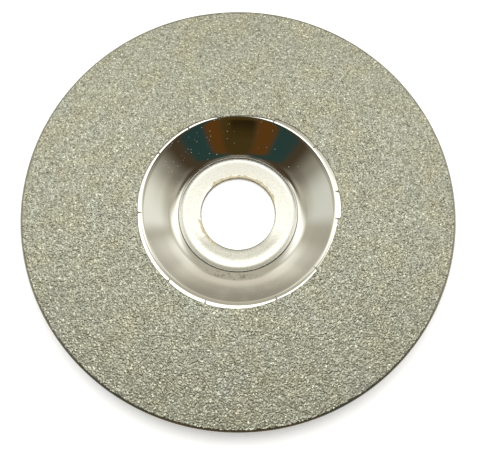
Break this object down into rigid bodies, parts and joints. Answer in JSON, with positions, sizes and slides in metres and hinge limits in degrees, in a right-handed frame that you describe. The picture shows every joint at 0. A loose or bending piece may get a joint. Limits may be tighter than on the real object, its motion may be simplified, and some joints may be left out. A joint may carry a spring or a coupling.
{
  "type": "diamond grinding wheel",
  "caption": "Dish-centred steel grinding wheel with an electroplated ring of diamond grit on its flat face and an arbor hole in the sunken hub.",
  "frame": {"origin": "on the spin axis, in the plane of the hub's underside, which is the lowest face", "axes": "+Z along the spin axis, out of the grinding face; X and Y across the wheel"},
  "size_m": [0.127, 0.127, 0.0083],
  "materials": {
    "bright_nickel_plate": "mirror-bright nickel plate over pressed steel, satin on the hub",
    "dull_nickel_bond": "matt electroplated nickel, rough round the grains",
    "diamond_grit": "glittering olive-grey diamond grit with nickel between the grains"
  },
  "bodies": {
    "root": {"steel_disc": "bright_nickel_plate", "nickel_bond": "dull_nickel_bond", "diamond_grit": "diamond_grit"}
  },
  "joints": []
}
